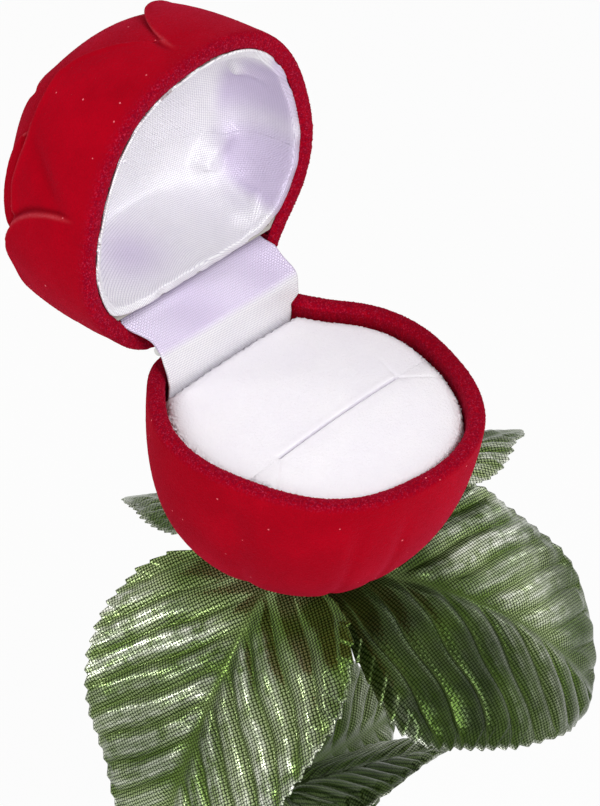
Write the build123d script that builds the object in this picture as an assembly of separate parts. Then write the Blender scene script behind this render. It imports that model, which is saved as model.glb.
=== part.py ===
from build123d import *
from math import cos, log, pi, radians, sin
import os

os.makedirs("parts", exist_ok=True)

# A hinged rose-head ring box on a long artificial stem. Millimetres, +Z up along the stem.
# The origin is the centre of the stem's cut end. X runs along the lid hinge and -Y is the front,
# where the box opens. The lid is modelled shut and then swung open, which is its rest pose.

# Rim of both halves, seen from above: angle in degrees and outer radius.
# Five petals swell between the creases, and the back is nearly straight for the hinge.
rim_points = [
    (0, 24.4), (20, 23.2), (40, 22.2), (57, 23.6), (73, 21.7), (107, 21.7), (123, 24.0),
    (140, 24.5), (160, 25.1), (180, 24.7), (199, 24.1), (220, 24.7), (240, 25.2),
    (262, 25.1), (280, 25.8), (300, 26.5), (320, 25.9), (340, 24.8),
]
rim_mean_radius = 24.4
wall = 2.7
lip_round = 0.8
parting_gap = 0.3
lobe_fade = 0.6

# Base half
bowl_depth = 32.2
bowl_fullness = 2.55
floor_thickness = 2.4
seat_radius = 5.2
socket_radius = 4.4
socket_depth = 9.0

# Lid half
lid_height = 27.6
lid_fullness = 3.1
crown_radius = 5.0
lid_cavity_depth = 21.5
lid_crown_wall = 3.4
lid_opening = 98.0

# Petals moulded on the lid: how many in each layer, the angle of the first one, how far its
# cutting plane stands from the axis at the rim, and how far that plane leans out
petal_step = 1.1
petal_flare = 1.2
petal_fullness = 3.7
outer_petal_count = 5
outer_petal_angle = 232.0
outer_petal_reach = 16.4
outer_petal_slope = 22.3
middle_petal_count = 5
middle_petal_angle = 196.0
middle_petal_reach = 13.6
middle_petal_slope = 2.0
inner_petal_count = 3
inner_petal_angle = 250.0
inner_petal_reach = 6.2
inner_petal_slope = 3.0
bud_drop = 1.6
bud_inset = 1.9
rim_band = 7.0

# Hinge
hinge_y = 21.1
hinge_length = 22.0
barrel_radius = 0.8
pin_radius = 0.42
pin_clearance = 0.05
pin_head_length = 0.35
pin_head_radius = 0.64
knuckle_gap = 0.2
knuckle_count = 5
leaf_metal = 0.5
leaf_setback = 0.5
hinge_leaf_height = 6.0
barrel_clearance = 0.3

# Snap spring
spring_width = 5.0
spring_thickness = 0.35
spring_foot = 4.5
spring_bend = 3.4
spring_standoff = 0.1

# Ring pad
pad_clearance = 0.25
pad_depth = 15.0
pad_back_y = 15.0
pad_top = 1.0
pad_crown = 1.5
pad_round = 1.1
slit_length = 26.0
slit_width = 0.7
slit_depth = 11.0
slit_y = -6.0
card_thickness = 1.2

# Lid lining: its straight hem and its edge stand a little inside the lid's rim
former_thickness = 0.8
lining_thickness = 0.4
lining_clearance = 0.15
lining_recess = 0.9
lining_back_y = 12.7
lining_back_lean = 16.0
lining_depth = 18.5

# Satin band over the hinge
band_thickness = 0.35
band_left = -14.4
band_right = 13.5
band_tuck_right = 12.3
band_tuck_depth = 5.0
band_pad_gap = 0.15
band_bend_y = 17.0
band_bend_z = 3.6
band_bend_radius = 0.6
band_hem_tuck = 3.0
band_shoulder_z = 0.4

# Stem, with a slightly thinner foot that goes into a vase or a holder
stem_length = 195.0
stem_radius = 2.5
foot_radius = 2.25
foot_length = 60.0
foot_taper = 4.0
wire_radius = 1.0
stem_fit = 0.05
calyx_radius = 5.0
calyx_height = 1.7

# Leaf hubs, one under the calyx and one further down
hub_radius = 3.4
hub_height = 6.0
hub_gap = 0.1
lower_hub_drop = 57.0

# Leaves: name, hub, direction, length, width, rise at the base, droop to the tip, roll, sweep,
# cup of the blade, petiole length, height above or below the hub's middle, pointedness, and how
# far along its length the blade is widest
leaves = [
    ("leaf_front_left", "upper",
     194.0, 54.6, 45.5, -23.9, 62.5, 14.3, -1.5, -2.9, 4.5, 1.9, 0.60, 0.32),
    ("leaf_front_right", "upper",
     308.6, 60.4, 49.0, 4.8, 74.2, 7.7, 7.3, 2.4, 5.7, -0.6, 0.66, 0.46),
    ("leaf_back_right", "upper",
     -0.5, 52.9, 26.0, 7.0, 30.6, -25.0, -2.8, 0.7, 4.7, 1.8, 0.89, 0.41),
    ("leaf_back_left", "upper",
     71.8, 51.0, 18.6, -19.8, 23.1, 6.3, 3.4, 0.9, 4.3, -1.6, 0.87, 0.40),
    ("lower_leaf_right", "lower",
     5.0, 50.0, 36.0, -30.0, 1.0, 54.0, 3.5, 1.3, 4.4, -1.0, 0.72, 0.42),
    ("lower_leaf_front", "lower",
     -46.0, 30.5, 34.0, 31.5, 13.0, -34.0, 1.0, 3.0, 4.6, 0.5, 0.76, 0.43),
    ("lower_leaf_left", "lower",
     200.0, 56.0, 42.0, -15.0, 50.0, 0.0, 0.0, 2.0, 6.0, 0.0, 0.72, 0.42),
]
leaf_thickness = 0.35
tooth_pitch = 2.4
tooth_depth = 0.7
rib_root_radius = 0.8
rib_end_radius = 0.35
rib_reach = 0.62
rib_gap = 0.05

# Heights that follow from the sizes above
rim_z = stem_length + bowl_depth
hinge_axis = Axis((0, hinge_y, rim_z), (1, 0, 0))
inner_back_y = rim_points[4][1] * sin(radians(rim_points[4][0])) - wall
leaf_front_y = inner_back_y - leaf_setback - leaf_metal
half_gap = parting_gap / 2
far_side = 2 * rim_mean_radius
calyx_bottom = stem_length - calyx_height
upper_hub_z = calyx_bottom - hub_gap - hub_height / 2
lower_hub_z = upper_hub_z - lower_hub_drop


def rim_outline(z, scale=1.0, inset=0.0, lobes=1.0):
    """Closed petal outline at height z, shrunk by scale and drawn in by inset."""
    points = []
    for angle, radius in rim_points:
        lobed_radius = rim_mean_radius + (radius - rim_mean_radius) * lobes
        reach = lobed_radius * scale - inset
        points.append((reach * cos(radians(angle)), reach * sin(radians(angle)), z))
    return Face(Wire([Edge.make_spline([Vector(*p) for p in points], periodic=True)]))


def cup(depth, fullness, end_radius, inset=0.0, upward=1, steps=8, inset_growth=0.0):
    """Solid dome or bowl from the parting plane, rounded like a superellipse."""
    sections = []
    end_scale = end_radius / rim_mean_radius
    end_drop = (1 - end_scale ** fullness) ** (1 / fullness)
    for step in range(steps + 1):
        turn = step / steps
        drop = sin(turn * pi / 2 * 0.999) ** (2 / fullness) * end_drop
        scale = (1 - drop ** fullness) ** (1 / fullness)
        height = depth * drop / end_drop
        drawn_in = inset + inset_growth * turn ** 2
        lobes = 1 - lobe_fade * turn
        sections.append(rim_outline(rim_z + upward * height, scale, drawn_in, lobes))
    return Solid.make_loft([section.outer_wire() for section in sections])


def half_space_box(low_x, high_x, low_y, high_y, low_z, high_z):
    """Box between the given limits, heights counted from the parting plane."""
    size = (high_x - low_x, high_y - low_y, high_z - low_z)
    centre = ((low_x + high_x) / 2, (low_y + high_y) / 2, rim_z + (low_z + high_z) / 2)
    return Pos(*centre) * Box(*size)


def swing_open(shape):
    """Turn a piece modelled with the lid shut to its place with the lid open."""
    return shape.rotate(hinge_axis, -lid_opening)


def along_x(radius, start, end):
    """Cylinder on the hinge axis between two X positions."""
    place = Pos((start + end) / 2, hinge_y, rim_z) * Rot(0, 90, 0)
    return place * Cylinder(radius, end - start)


def hinge_recess(upward):
    """Room in the back rim for the barrel and for one leaf's tab."""
    tab_depth = half_gap + leaf_metal + knuckle_gap
    low, high = (0, tab_depth) if upward > 0 else (-tab_depth, 0)
    reach = hinge_length / 2 + barrel_clearance
    slot = half_space_box(-reach, reach, leaf_front_y - barrel_clearance, hinge_y + 2, low, high)
    return slot + along_x(barrel_radius + barrel_clearance, -reach, reach)


def rounded_lip(shell, z):
    """Round both edges of the rim."""
    lip = shell.edges().filter_by(lambda e: abs(e.center().Z - z) < 0.01 and e.length > 2 * rim_mean_radius)
    return fillet(lip, lip_round)


def base_shell():
    outside = cup(bowl_depth, bowl_fullness, seat_radius, upward=-1)
    inside = cup(bowl_depth - floor_thickness, bowl_fullness, seat_radius + wall, wall, -1)
    gap = half_space_box(-far_side, far_side, -far_side, far_side, -half_gap, far_side)
    shell = rounded_lip(Part() + (outside - inside) - gap, rim_z - half_gap)
    socket_top = stem_length + floor_thickness + socket_depth
    socket = Pos(0, 0, (stem_length + socket_top) / 2) * Cylinder(
        socket_radius, socket_top - stem_length)
    bore_top = socket_top - floor_thickness
    bore = Pos(0, 0, bore_top / 2) * Cylinder(stem_radius + stem_fit, bore_top)
    return shell + (socket & outside) - bore - hinge_recess(-1)


def petal_layer(dome, count, first_angle, reach, slope):
    """Parts of a dome outside slanted planes, one plane for each petal."""
    layer = Part()
    for index in range(count):
        angle = first_angle + 360 / count * index
        block = Pos(reach, 0, rim_z) * Rot(0, slope, 0) * Pos(far_side, 0, 0) * Box(
            2 * far_side, 2 * far_side, 4 * far_side)
        layer = layer + (dome & (Rot(0, 0, angle) * block))
    return layer


def lid_shell():
    outer = cup(lid_height + petal_flare, petal_fullness, crown_radius)
    middle = cup(lid_height, lid_fullness, crown_radius)
    inner = cup(lid_height - petal_step / 2, lid_fullness, crown_radius, petal_step)
    bud = cup(lid_height - bud_drop, lid_fullness, crown_radius, bud_inset)
    body = bud + (middle & half_space_box(-far_side, far_side, -far_side, far_side, 0, rim_band))
    body = body + petal_layer(outer, outer_petal_count, outer_petal_angle, outer_petal_reach,
                              outer_petal_slope)
    body = body + petal_layer(middle, middle_petal_count, middle_petal_angle,
                              middle_petal_reach, middle_petal_slope)
    body = body + petal_layer(inner, inner_petal_count, inner_petal_angle,
                              inner_petal_reach, inner_petal_slope)
    cavity = cup(lid_cavity_depth, lid_fullness, crown_radius + wall, wall,
                 inset_growth=lid_crown_wall)
    gap = half_space_box(-far_side, far_side, -far_side, far_side, -far_side, half_gap)
    shell = body - cavity - gap
    return shell - hinge_recess(1)


def hinge_leaf(upward):
    """Sheet metal leaf: knuckles, a tab over the rim and a plate inside the wall."""
    tab_far = half_gap + knuckle_gap / 2 + leaf_metal
    tab_near = half_gap + knuckle_gap / 2
    low, high = (tab_near, tab_far) if upward > 0 else (-tab_far, -tab_near)
    reach = hinge_length / 2
    tab = half_space_box(-reach, reach, leaf_front_y, hinge_y, low, high)
    far = upward * hinge_leaf_height
    plate = half_space_box(-reach, reach, leaf_front_y, leaf_front_y + leaf_metal,
                           min(low, far), max(high, far))
    leaf = tab + plate
    pitch = hinge_length / knuckle_count
    for index in range(knuckle_count):
        start = -reach + index * pitch
        own = (index % 2 == 0) == (upward < 0)
        if own:
            leaf = leaf + along_x(barrel_radius, start + knuckle_gap / 2,
                                  start + pitch - knuckle_gap / 2)
        else:
            leaf = leaf - along_x(barrel_radius + knuckle_gap, start - knuckle_gap / 2,
                                  start + pitch + knuckle_gap / 2)
    return leaf - along_x(pin_radius + pin_clearance, -reach - 1, reach + 1)


def hinge_pin():
    reach = hinge_length / 2
    pin = along_x(pin_radius, -reach - pin_head_length, reach + pin_head_length)
    for side in (-1, 1):
        near = side * reach
        far = side * (reach + pin_head_length)
        pin = pin + along_x(pin_head_radius, min(near, far), max(near, far))
    return pin


def open_point(y, z):
    """Where a point of the shut lid, counted from the parting plane, lies when it is open."""
    turn = radians(lid_opening)
    away = y - hinge_y
    return (hinge_y + away * cos(turn) + z * sin(turn), -away * sin(turn) + z * cos(turn))


def strip(path, thickness, low_x, high_x, bend_radius):
    """Bent strip of constant section, from a path of (y, z) points at its middle."""
    plane = Plane(origin=(low_x, 0, rim_z), x_dir=(0, 1, 0), z_dir=(1, 0, 0))
    line = FilletPolyline(*path, radius=bend_radius)
    section = offset(plane * line, amount=thickness / 2, kind=Kind.INTERSECTION)
    return extrude(make_face(section), high_x - low_x, dir=(1, 0, 0))


def snap_spring():
    near_y = leaf_front_y - spring_standoff - spring_thickness / 2
    foot = open_point(near_y, spring_foot)
    corner = open_point(near_y, -spring_bend / 4)
    path = [(near_y, -spring_foot), (near_y, corner[1] + spring_thickness), foot]
    return strip(path, spring_thickness, -spring_width / 2, spring_width / 2, spring_bend)


def ring_pad():
    sides = cup(bowl_depth - floor_thickness, bowl_fullness, seat_radius + wall,
                wall + pad_clearance, -1)
    slab = half_space_box(-far_side, far_side, -far_side, pad_back_y, -pad_depth, -pad_top)
    crown_radius_of_pad = rim_mean_radius ** 2 / (2 * pad_crown)
    crown = Pos(0, 0, rim_z - pad_top - crown_radius_of_pad) * Sphere(crown_radius_of_pad)
    pad = sides & slab & crown
    upper_edges = pad.edges().filter_by(lambda e: e.center().Z > rim_z - pad_depth / 3)
    pad = fillet(upper_edges.filter_by(lambda e: e.length > pad_back_y), pad_round)
    slit = half_space_box(-slit_length / 2, slit_length / 2, slit_y - slit_width / 2,
                          slit_y + slit_width / 2, -slit_depth, pad_depth)
    return pad - slit


def pad_card():
    sides = cup(bowl_depth - floor_thickness, bowl_fullness, seat_radius + wall,
                wall + pad_clearance / 2, -1)
    slab = half_space_box(-far_side, far_side, -far_side, pad_back_y,
                          -pad_depth - card_thickness, -pad_depth)
    return sides & slab


def lining_cup(inset, shallower):
    """Space inside the lid up to the leaning back wall of the lining."""
    space = cup(lining_depth - shallower, lid_fullness, crown_radius + wall,
                wall + lining_clearance + inset, inset_growth=lid_crown_wall)
    back = lining_back_y - inset
    block = Pos(0, back, rim_z) * Rot(lining_back_lean, 0, 0) * Pos(
        0, far_side, 0) * Box(2 * far_side, 2 * far_side, 4 * far_side)
    return space - block


def lining_layer(inset, thickness):
    """One layer of the lining, open towards the parting plane."""
    layer = lining_cup(inset, inset) - lining_cup(inset + thickness, inset + thickness)
    hem = half_gap + lining_recess
    return layer - half_space_box(-far_side, far_side, -far_side, far_side, -far_side, hem)


def hinge_band():
    """Satin band from behind the pad, over the hinge, to behind the lining."""
    start_y = pad_back_y + band_pad_gap + band_thickness / 2
    behind = lining_back_y + former_thickness / 2
    hem = open_point(behind, half_gap + lining_recess)
    end = open_point(behind, half_gap + lining_recess + band_hem_tuck)
    path = [(start_y, -band_tuck_depth), (start_y, -pad_top), (band_bend_y, band_bend_z), hem, end]
    band = strip(path, band_thickness, band_left, band_right, band_bend_radius)
    shoulder = half_space_box(band_tuck_right, far_side, 0, far_side, -far_side, band_shoulder_z)
    return band - shoulder


def stem_sleeve():
    top = stem_length + socket_depth - stem_fit
    profile = Polyline((wire_radius, 0), (foot_radius, 0), (foot_radius, foot_length),
                       (stem_radius, foot_length + foot_taper), (stem_radius, top),
                       (wire_radius, top), close=True)
    return revolve(make_face(Plane.XZ * profile), Axis.Z, 360)


def stem_wire():
    top = stem_length + socket_depth - stem_fit
    return Pos(0, 0, top / 2) * Cylinder(wire_radius, top)


def calyx():
    """Small cup between the head and the upper leaf hub."""
    body = Pos(0, 0, stem_length - calyx_height / 2) * Cone(
        hub_radius, calyx_radius, calyx_height)
    return body - Pos(0, 0, stem_length) * Cylinder(stem_radius + stem_fit, 3 * calyx_height)


def leaf_hub(z):
    hub = Pos(0, 0, z) * Cylinder(hub_radius, hub_height)
    hub = chamfer(hub.edges().group_by(Axis.Z)[0], 1.0)
    return hub - Pos(0, 0, z) * Cylinder(stem_radius + stem_fit, hub_height + 2)


class Blade:
    """Curved leaf: its midrib is an arc that droops, and its sides cup along the width."""

    def __init__(self, place, azimuth, length, width, rise, droop, roll, sweep, cup_depth,
                 petiole, height, pointedness, widest):
        self.length = length
        self.width = width
        self.azimuth = radians(azimuth)
        self.rise = radians(rise)
        self.bend = radians(droop) / length
        self.roll = radians(roll)
        self.sweep = sweep
        self.cup_depth = cup_depth
        self.petiole = petiole
        self.base_z = place + height
        self.pointedness = pointedness
        self.stretch = log(0.5) / log(widest)

    def frame(self, s):
        """Centre, direction, side and normal of the midrib at distance s from the blade's base."""
        pitch = self.rise - self.bend * s
        out = self.petiole + (sin(self.rise) - sin(pitch)) / self.bend
        up = (cos(pitch) - cos(self.rise)) / self.bend
        ahead = Vector(cos(self.azimuth), sin(self.azimuth), 0)
        level = Vector(-sin(self.azimuth), cos(self.azimuth), 0)
        vertical = Vector(0, 0, 1)
        direction = ahead * cos(pitch) + vertical * sin(pitch)
        upright = vertical * cos(pitch) - ahead * sin(pitch)
        side = level * cos(self.roll) + upright * sin(self.roll)
        normal = upright * cos(self.roll) - level * sin(self.roll)
        centre = ahead * out + vertical * (self.base_z + up)
        forward = max(s, 0) / self.length
        return centre + side * (self.sweep * forward ** 2), direction, side, normal

    def point(self, s, across):
        centre, _, side, normal = self.frame(s)
        sag = self.cup_depth * (across / (self.width / 2)) ** 2
        return centre + side * across - normal * sag

    def half_width(self, s):
        share = min(max(s / self.length, 0), 1)
        return self.width / 2 * abs(sin(pi * share ** self.stretch)) ** self.pointedness


def toothed_outline(blade, plane):
    """Saw-toothed outline of the blade, seen along the plane's normal."""
    count = round(blade.length / tooth_pitch)
    pitch = blade.length / count
    sides = []
    for side in (1, -1):
        edge = []
        for index in range(count):
            root = index * pitch
            tip = root + 0.8 * pitch
            edge.append((root, side * blade.half_width(root)))
            edge.append((tip, side * (blade.half_width(tip) + tooth_depth)))
        sides.append(edge[1:])
    loop = [(0, 0)] + sides[0] + [(blade.length, 0)] + sides[1][::-1]
    flat = [plane.to_local_coords(blade.point(s, across)) for s, across in loop]
    return [(p.X, p.Y) for p in flat]


def leaf_blade(blade):
    rows, columns = 9, 7
    margin = 2.0
    grid = []
    for row in range(rows):
        s = -margin + (blade.length + 2 * margin) * row / (rows - 1)
        half = blade.width / 2 + margin
        grid.append([blade.point(s, half * (2 * c / (columns - 1) - 1)) for c in range(columns)])
    sheet = Solid.thicken(Face.make_surface_from_array_of_points(grid), leaf_thickness)
    centre, direction, _, normal = blade.frame(blade.length / 2)
    plane = Plane(origin=centre, x_dir=direction, z_dir=normal)
    outline = make_face(plane * Polyline(*toothed_outline(blade, plane), close=True))
    return sheet & extrude(outline, amount=blade.length, both=True)


def leaf_rib(blade):
    """Moulded petiole that runs on as the midrib, under the blade."""
    sections = []
    start = hub_radius - rib_root_radius - blade.petiole
    end = rib_reach * blade.length
    steps = 7
    for step in range(steps + 1):
        share = step / steps
        s = start + (end - start) * share
        radius = rib_root_radius + (rib_end_radius - rib_root_radius) * share
        centre, direction, _, normal = blade.frame(s)
        below = leaf_thickness + rib_gap + radius
        ring = Plane(origin=centre - normal * below, z_dir=direction)
        sections.append(Wire.make_circle(radius, ring))
    rib = Solid.make_loft(sections, ruled=True)
    return rib - Cylinder(hub_radius, 4 * stem_length)


def save(name, shape):
    export_step(shape, f"parts/{name}.step")


save("base_shell", base_shell())
save("lid_shell", swing_open(lid_shell()))
save("hinge_leaf_base", hinge_leaf(-1))
save("hinge_leaf_lid", swing_open(hinge_leaf(1)))
save("hinge_pin", hinge_pin())
save("snap_spring", snap_spring())
save("hinge_band", hinge_band())
save("ring_pad", ring_pad())
save("pad_card", pad_card())
save("lid_former", swing_open(lining_layer(0, former_thickness)))
save("lid_lining", swing_open(lining_layer(former_thickness, lining_thickness)))
save("stem_sleeve", stem_sleeve())
save("stem_wire", stem_wire())
save("calyx", calyx())
save("upper_leaf_hub", leaf_hub(upper_hub_z))
save("lower_leaf_hub", leaf_hub(lower_hub_z))
hub_heights = {"upper": upper_hub_z, "lower": lower_hub_z}
for leaf_name, hub_name, *shape_values in leaves:
    leaf = Blade(hub_heights[hub_name], *shape_values)
    save(leaf_name, leaf_blade(leaf))
    save(leaf_name + "_rib", leaf_rib(leaf))
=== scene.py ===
import bpy
import math
import numpy as np
from mathutils import Matrix, Vector


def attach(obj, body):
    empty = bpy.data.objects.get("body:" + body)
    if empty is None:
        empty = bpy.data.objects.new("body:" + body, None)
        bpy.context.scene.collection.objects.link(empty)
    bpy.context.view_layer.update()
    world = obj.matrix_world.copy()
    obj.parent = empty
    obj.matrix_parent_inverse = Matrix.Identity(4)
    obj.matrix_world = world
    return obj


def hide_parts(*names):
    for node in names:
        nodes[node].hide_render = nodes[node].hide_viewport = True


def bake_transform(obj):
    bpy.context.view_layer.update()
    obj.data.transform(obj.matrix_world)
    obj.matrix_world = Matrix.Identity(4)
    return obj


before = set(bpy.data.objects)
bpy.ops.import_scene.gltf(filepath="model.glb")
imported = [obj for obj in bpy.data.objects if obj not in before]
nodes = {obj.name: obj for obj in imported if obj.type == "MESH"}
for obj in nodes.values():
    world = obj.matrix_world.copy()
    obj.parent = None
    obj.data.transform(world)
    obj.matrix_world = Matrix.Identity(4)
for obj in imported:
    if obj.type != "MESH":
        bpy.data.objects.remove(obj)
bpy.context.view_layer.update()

# Sizes are in millimetres, and each mesh is scaled to metres when it is made.
# Heights of the head are counted from the parting plane of the two halves.
MM = 0.001
rng = np.random.default_rng(7)

# Rim of both halves, seen from above: angle in degrees and outer radius
rim_points = [
    (0, 24.4), (20, 23.2), (40, 22.2), (57, 23.6), (73, 21.7), (107, 21.7), (123, 24.0),
    (140, 24.5), (160, 25.1), (180, 24.7), (199, 24.1), (220, 24.7), (240, 25.2),
    (262, 25.1), (280, 25.8), (300, 26.5), (320, 25.9), (340, 24.8),
]
rim_mean_radius = 24.4
rim_angle = np.linspace(0, 360, 720, endpoint=False)[None, :]
wall = 2.7
parting_gap = 0.3
lobe_fade = 0.6
stem_length = 195.0
bowl_depth = 32.2
bowl_fullness = 2.55
floor_thickness = 2.4
seat_radius = 5.2
socket_radius = 4.4
socket_depth = 9.0
bore_radius = 2.55
lid_height = 27.6
lid_fullness = 3.1
crown_radius = 5.0
lid_cavity_depth = 21.5
lid_crown_wall = 3.4
lid_opening = 98.0
hinge_y = 21.1
hinge_length = 22.0
hinge_clearance = 0.3
barrel_room = 1.1
tab_room = 0.85
hinge_room_top = 3.0
leaf_front_y = 17.05
rim_z = stem_length + bowl_depth
half_gap = parting_gap / 2

# Lip of both halves
lip_height = 1.1
lip_roundness = 0.8
lip_rows = 15
fuzz_spread = 0.08
fuzz_reach = -0.16
pile_spread = 0.012
rim_pile_spread = 0.035


# Mesh helpers

def to_row(points):
    """Head coordinates, counted from the parting plane, as row coordinates."""
    return points + np.array([0.0, 0.0, rim_z])


def swing(points):
    """Points of the shut lid as they are with the lid open."""
    turn = math.radians(lid_opening)
    away = points[..., 1] - hinge_y
    z = points[..., 2]
    y_open = hinge_y + away * math.cos(turn) + z * math.sin(turn)
    z_open = -away * math.sin(turn) + z * math.cos(turn)
    return np.stack([points[..., 0], y_open, z_open], axis=-1)


def grid_quads(rows, columns, closed):
    """Corner numbers of the quads of a grid, row after row."""
    a = np.arange(rows - 1)[:, None] * columns
    c = np.arange(columns if closed else columns - 1)[None, :]
    a, b = a + c, a + (c + 1) % columns
    return np.stack([a, b, b + columns, a + columns], axis=-1).reshape(-1, 4).tolist()


def make_piece(name, points, faces, material, uv=None, values=None):
    """New mesh object from points in millimetres, with smooth faces."""
    mesh = bpy.data.meshes.new(name)
    mesh.from_pydata((points * MM).tolist(), [], faces)
    mesh.shade_smooth()
    if uv is not None:
        layer = mesh.uv_layers.new(name="cloth")
        corners = np.zeros(len(mesh.loops), dtype=np.int32)
        mesh.loops.foreach_get("vertex_index", corners)
        layer.data.foreach_set("uv", uv[corners].astype(np.float32).ravel())
    for label, value in (values or {}).items():
        attribute = mesh.attributes.new(label, "FLOAT", "POINT")
        attribute.data.foreach_set("value", np.asarray(value, np.float32))
    mesh.materials.append(material)
    piece = bpy.data.objects.new(name, mesh)
    bpy.context.scene.collection.objects.link(piece)
    return piece


def surface_normal(grid):
    """Unit normals of a surface given as a grid of points."""
    normal = np.cross(np.gradient(grid, axis=1), np.gradient(grid, axis=0))
    return normal / np.maximum(np.linalg.norm(normal, axis=-1, keepdims=True), 1e-9)


def cloth_piece(name, grid, thickness, material, uv=None, **values):
    """New piece of thin closed cloth, from a grid of its middle surface, its flat map and values."""
    rows, columns = grid.shape[:2]
    count = 2 * columns
    last = (rows - 1) * count
    faces = grid_quads(rows, count, True)
    for c in range(columns - 1):
        far = count - 1 - c
        faces.append((c + 1, c, far, far - 1))
        faces.append((last + c, last + c + 1, last + far - 1, last + far))

    def both(front, back):
        return np.concatenate([front, back[:, ::-1]], axis=1).reshape(rows * count, -1)

    out = surface_normal(grid) * thickness / 2
    return make_piece(name, both(grid + out, grid - out), faces, material,
                      None if uv is None else both(uv, uv),
                      {label: both(value, value)[:, 0] for label, value in values.items()})


def smooth(value):
    value = np.clip(value, 0.0, 1.0)
    return value * value * (3 - 2 * value)


def bell(value, width):
    """1 at zero, falling smoothly to about a third at the width."""
    return np.exp(-(value / width) ** 2)


def turned_from(middle, angle):
    """Angles in degrees counted from a middle one, from -180 to 180."""
    return (angle - middle + 180) % 360 - 180


def at_angle(angle):
    """Unit x and y at angles in degrees."""
    a = np.radians(angle)
    return np.stack([np.cos(a), np.sin(a)], axis=-1)


def polar(angle, reach, height):
    """Points at angles in degrees, reaches from the axis and heights."""
    a = np.radians(angle)
    return np.stack([reach * np.cos(a), reach * np.sin(a), height + 0 * a], axis=-1)


def segment_distance(points, start, end):
    """Distance of each point to a segment and its share along it."""
    run = np.subtract(end, start)
    share = np.clip((points - start) @ run / (run @ run), 0, 1)
    return np.linalg.norm(points - start - share[..., None] * run, axis=-1), share


# The two halves' shared outline

def spline_through(values, knots, at):
    """Periodic cubic spline through values at the knots, the last knot closing the loop."""
    step = np.diff(knots)
    before = np.roll(step, 1)
    slope = (np.roll(values, -1) - values) / step
    one = np.eye(len(step))
    matrix = 2 * one * (before + step) + before[:, None] * np.roll(one, -1, axis=1)
    matrix += step[:, None] * np.roll(one, 1, axis=1)
    bend = np.linalg.solve(matrix, 6 * (slope - np.roll(slope, 1)))
    index = np.clip(np.searchsorted(knots, at, side="right") - 1, 0, len(step) - 1)
    after = (index + 1) % len(step)
    h = step[index]
    t = at - knots[index]
    u = knots[index + 1] - at
    return (bend[index] * u ** 3 + bend[after] * t ** 3) / (6 * h) + (
        values[index] / h - bend[index] * h / 6) * u + (values[after] / h - bend[after] * h / 6) * t


def outline_table():
    """Angles and radii of a closed spline through the rim's points."""
    angle, radius = np.array(rim_points).T
    x, y = at_angle(angle).T * radius
    knots = np.append(0.0, np.cumsum(np.hypot(np.roll(x, -1) - x, np.roll(y, -1) - y)))
    at = np.linspace(0, knots[-1], 2000, endpoint=False)
    x, y = spline_through(x, knots, at), spline_through(y, knots, at)
    turned = np.degrees(np.arctan2(y, x)) % 360
    order = np.argsort(turned)
    return turned[order], np.hypot(x, y)[order]


outline_angles, outline_radii = outline_table()
# a dome's turns end just short of its pole
quarter_turn = math.pi / 2 * 0.999


def outline(angle):
    """Outer radius of the rim at an angle in degrees."""
    return np.interp(np.asarray(angle) % 360, outline_angles, outline_radii, period=360)


def end_drop_of(fullness, end_radius):
    return (1 - (end_radius / rim_mean_radius) ** fullness) ** (1 / fullness)


def cup(angle, turn, depth, fullness, end_radius, inset=0.0, growth=0.0):
    """Dome points at an angle and a turn from 0 at the rim to 1 at the end, heights positive."""
    end_drop = end_drop_of(fullness, end_radius)
    drop = np.sin(turn * quarter_turn) ** (2 / fullness) * end_drop
    scale = (1 - drop ** fullness) ** (1 / fullness)
    lobed = rim_mean_radius + (outline(angle) - rim_mean_radius) * (1 - lobe_fade * turn)
    reach = lobed * scale - inset - growth * turn ** 2
    return polar(angle, reach, depth * drop / end_drop)


def turn_at(height, depth, fullness, end_radius):
    """Turn at which a dome reaches a height."""
    end_drop = end_drop_of(fullness, end_radius)
    return math.asin((height / depth * end_drop) ** (fullness / 2)) / quarter_turn


def dome_rows(crown, side, start, end):
    """Turns of a dome's rows from its crown to its rim, and how far the crown's rows reach."""
    turns = np.append(np.ones(crown), np.linspace(start, end, side))
    inward = np.append(np.linspace(0.02, 1, crown), np.ones(side))
    return turns[:, None], inward[:, None]


def free_hinge(rings):
    """Rings of a rim, raised where the hinge's slot, tab and barrel need room at the back."""
    x, y, z = rings[..., 0], rings[..., 1], rings[..., 2]
    reach = hinge_length / 2 + hinge_clearance
    beside = smooth((reach + hinge_clearance / 2 - np.abs(x)) / hinge_clearance)
    tab = np.where(y > leaf_front_y - hinge_clearance, tab_room, 0.0)
    away = np.clip(1 - ((y - hinge_y) / barrel_room) ** 2, 0, 1)
    room = beside * np.maximum(tab, barrel_room * np.sqrt(away))
    rings[..., 2] = np.maximum(z, room * (z < hinge_room_top))
    return rings


def lip_rings(edge, outward, fuzzy=False):
    """Rings of the rounded lip, from the outer edge over to the wall's inner side."""
    inner_edge = edge.copy()
    inner_edge[:, :2] -= outward * wall
    rings = []
    for step in np.linspace(0, math.pi, lip_rows + 2)[1:-1]:
        ring = (edge + inner_edge) / 2
        if fuzzy:
            fuzz = rng.normal(0, fuzz_spread, (len(edge), 1)) + fuzz_reach
            ring[:, :2] += outward * fuzz * smooth((step - 1.8) / 0.8)
        side = math.copysign(abs(math.cos(step)) ** lip_roundness, math.cos(step))
        ring[:, :2] += outward * (wall / 2 * side)
        ring[:, 2] = half_gap + lip_height * (1 - math.sin(step) ** lip_roundness)
        rings.append(ring)
    return np.array(rings)


def ruffle(points, amount):
    """Small seeded displacement of each point, for the uneven ends of the pile."""
    return points + rng.normal(0, 1, points.shape) * amount


def stand_for(piece, node, body=None):
    """The piece takes the place of a node, which is hidden, and rides on one body if given."""
    if body:
        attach(piece, body)
    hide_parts(node)


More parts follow.
